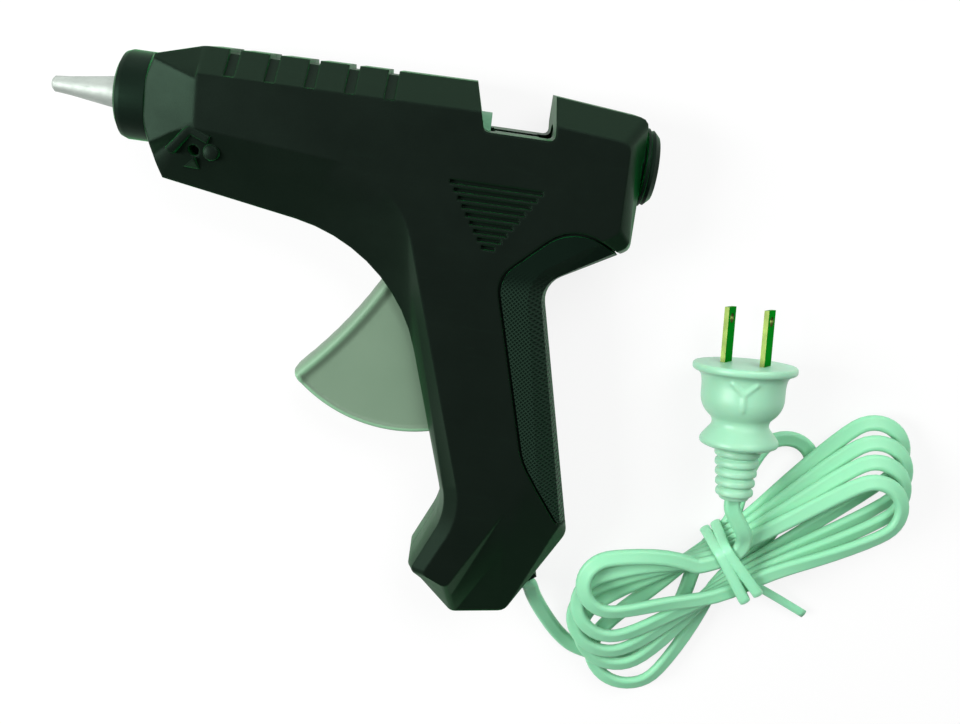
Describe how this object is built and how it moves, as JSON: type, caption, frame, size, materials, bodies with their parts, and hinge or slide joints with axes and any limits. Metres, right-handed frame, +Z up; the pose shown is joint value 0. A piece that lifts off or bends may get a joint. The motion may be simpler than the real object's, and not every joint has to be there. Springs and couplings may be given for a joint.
{
  "type": "hot glue applicator",
  "caption": "Pistol-shaped hot glue applicator: two-half moulded body, metal nozzle, trigger-driven stick feed with return spring, and a mains lead tied in a hank",
  "frame": {"origin": "centre of the underside of the tool's box as it lies on its right side", "axes": "X along the barrel towards the stick inlet, Y from the handle's sole to the barrel's top, Z up from the surface it lies on, towards the tool's left side"},
  "size_m": [0.2824, 0.2003, 0.033],
  "materials": {
    "housing": "dark green-black satin moulding",
    "grip": "dark green soft insert with a fine diagonal mesh",
    "nozzle_metal": "turned bare metal",
    "insulator": "heat-proof board and ceramic",
    "steel": "zinc-plated steel",
    "silicone": "heat-proof silicone",
    "pale_plastic": "pale grey-green satin moulding",
    "wire": "sleeved wire",
    "brass": "yellow brass",
    "cord": "translucent mint vinyl",
    "tie": "coated wire tie"
  },
  "bodies": {
    "tool_body": {"left_housing": "housing", "right_housing": "housing", "rear_grip": "grip", "nozzle": "nozzle_metal", "nozzle_collar": "housing", "melt_chamber": "nozzle_metal", "front_support": "insulator", "rear_support": "insulator", "heater_element": "insulator", "heater_clip": "steel", "inlet_sleeve": "silicone", "sleeve_clamp": "steel", "inlet_ring": "housing", "trigger_pin": "steel", "return_spring": "steel", "housing_screws": "steel", "cord_bush": "housing", "cord_clamp": "pale_plastic", "clamp_screws": "steel", "lead_wires": "wire", "wire_crimps": "brass", "cord_lead": "cord", "cord_hank": "cord", "cord_tail": "cord", "cord_tie": "tie", "plug_body": "cord", "plug_blades": "brass"},
    "trigger": {"trigger": "pale_plastic"},
    "feed_carriage": {"feed_carriage": "pale_plastic", "pawl_pin": "steel"},
    "grip_pawl": {"grip_pawl": "steel"}
  },
  "joints": [
    {"name": "trigger_pull", "type": "hinge", "parent": "tool_body", "child": "trigger", "pos_m": [0.0223, 0.02106, 0.0165], "axis": [0, 0, 1], "range_deg": [0, 24], "stiffness_Nm_per_rad": 0.4, "springref_deg": -17.19},
    {"name": "stick_feed", "type": "slide", "parent": "tool_body", "child": "feed_carriage", "axis": [-1, 0, 0], "range_m": [0, 0.0132], "deforming": ["return_spring"]},
    {"name": "pawl_lift", "type": "hinge", "parent": "feed_carriage", "child": "grip_pawl", "pos_m": [0.0266, 0.07676, 0.0165], "axis": [0, 0, -1], "range_deg": [0, 10], "stiffness_Nm_per_rad": 0.004, "springref_deg": -11.46}
  ],
  "couplings": [
    {"joint": "stick_feed", "follows": "trigger_pull", "m_per_rad": 0.03127}
  ]
}
